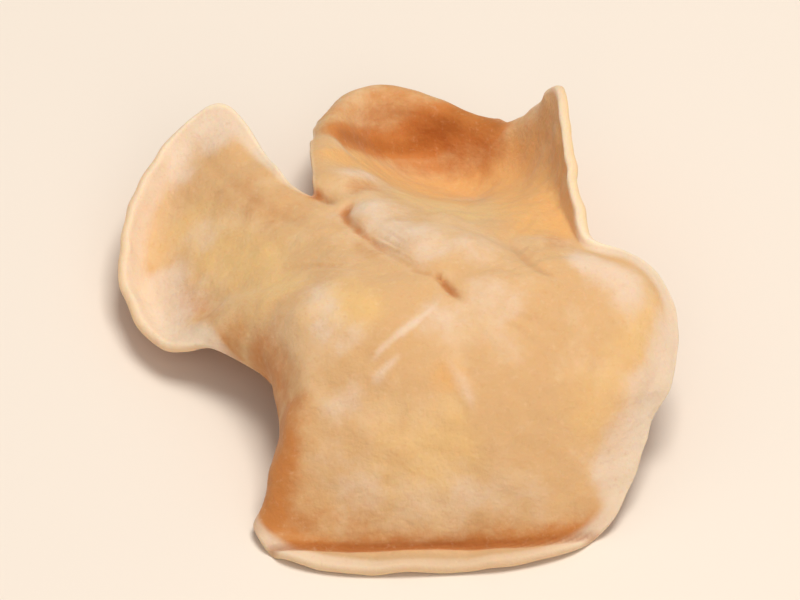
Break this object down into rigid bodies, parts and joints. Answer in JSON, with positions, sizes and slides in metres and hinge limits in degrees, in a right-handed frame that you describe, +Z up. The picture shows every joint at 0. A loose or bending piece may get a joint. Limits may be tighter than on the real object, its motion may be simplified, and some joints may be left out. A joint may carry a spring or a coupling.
{
  "type": "wood ear mushroom",
  "caption": "Dried pale wood ear: a thin folded sheet with a skirt, a drooping flap, a curled scoop and an upright fin around a small pinch.",
  "frame": {"origin": "on the surface that the ear rests on, below the middle of its box", "axes": "+Z up, away from the surface; -Y towards the skirt's lip; +X to the right lobe"},
  "size_m": [0.0408, 0.0468, 0.0137],
  "materials": {
    "flesh": "matte"
  },
  "bodies": {
    "root": {"ear": "flesh"}
  },
  "joints": []
}
